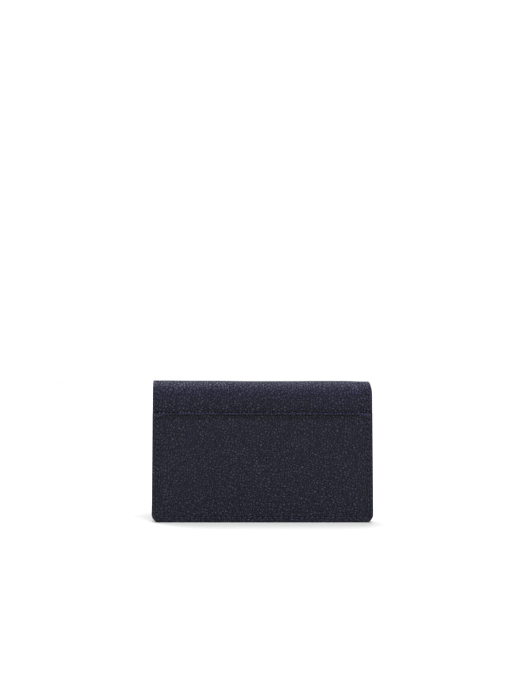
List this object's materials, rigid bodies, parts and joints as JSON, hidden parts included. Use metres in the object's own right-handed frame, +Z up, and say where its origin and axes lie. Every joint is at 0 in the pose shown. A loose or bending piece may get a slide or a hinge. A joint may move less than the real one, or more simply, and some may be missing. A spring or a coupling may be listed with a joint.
{
  "type": "card holder",
  "caption": "Slim grained-leather card holder with a fold-over snap flap, a rear slip pocket, a gusseted card compartment and an inner card slot.",
  "frame": {"origin": "middle of the bounding box at the bottom, on the surface the holder stands on", "axes": "+Z up to the folded top edge; X across the width; +Y towards the flap's face, so the slip-pocket side faces -Y"},
  "size_m": [0.1084, 0.0152, 0.069],
  "materials": {
    "outer_leather": "fine pebble grain, satin",
    "lining_leather": "smooth, matte",
    "gusset_leather": "fine pebble grain, skived, satin",
    "thread": "waxed twisted thread",
    "snap_metal": "satin nickel plate on brass",
    "spring_wire": "drawn wire",
    "washer_board": "pressed fibre board"
  },
  "bodies": {
    "root": {"slip_pocket_panel": "outer_leather", "back_panel": "outer_leather", "back_lining": "lining_leather", "back_seam_thread": "thread", "card_slot_panel": "lining_leather", "card_slot_thread": "thread", "gusset_strip": "gusset_leather", "front_lining": "lining_leather", "front_panel": "outer_leather", "front_seam_thread": "thread", "snap_stud": "snap_metal", "snap_shank": "snap_metal", "front_snap_washer": "washer_board"},
    "fold_1": {"fold_leather_1": "outer_leather", "fold_lining_1": "lining_leather", "fold_seam_thread_1": "thread"},
    "fold_2": {"fold_leather_2": "outer_leather", "fold_lining_2": "lining_leather", "fold_seam_thread_2": "thread"},
    "fold_3": {"fold_leather_3": "outer_leather", "fold_lining_3": "lining_leather", "fold_seam_thread_3": "thread"},
    "flap": {"flap_panel": "outer_leather", "flap_lining": "lining_leather", "flap_seam_thread": "thread", "snap_cap": "snap_metal", "snap_socket": "snap_metal", "snap_spring": "spring_wire", "flap_snap_washer": "washer_board"}
  },
  "joints": [
    {"name": "flap_open", "type": "hinge", "parent": "root", "child": "fold_1", "pos_m": [0, -0.00583, 0.06487], "axis": [1, 0, 0], "range_deg": [0, 45]},
    {"name": "flap_bend_2", "type": "hinge", "parent": "fold_1", "child": "fold_2", "pos_m": [0, -0.00234, 0.06836], "axis": [1, 0, 0], "range_deg": [0, 45]},
    {"name": "flap_bend_3", "type": "hinge", "parent": "fold_2", "child": "fold_3", "pos_m": [0, 0.00259, 0.06836], "axis": [1, 0, 0], "range_deg": [0, 45]},
    {"name": "flap_bend_4", "type": "hinge", "parent": "fold_3", "child": "flap", "pos_m": [0, 0.00608, 0.06487], "axis": [1, 0, 0], "range_deg": [0, 45]}
  ],
  "couplings": [
    {"joint": "flap_bend_2", "follows": "flap_open", "ratio": 1},
    {"joint": "flap_bend_3", "follows": "flap_open", "ratio": 1},
    {"joint": "flap_bend_4", "follows": "flap_open", "ratio": 1}
  ]
}
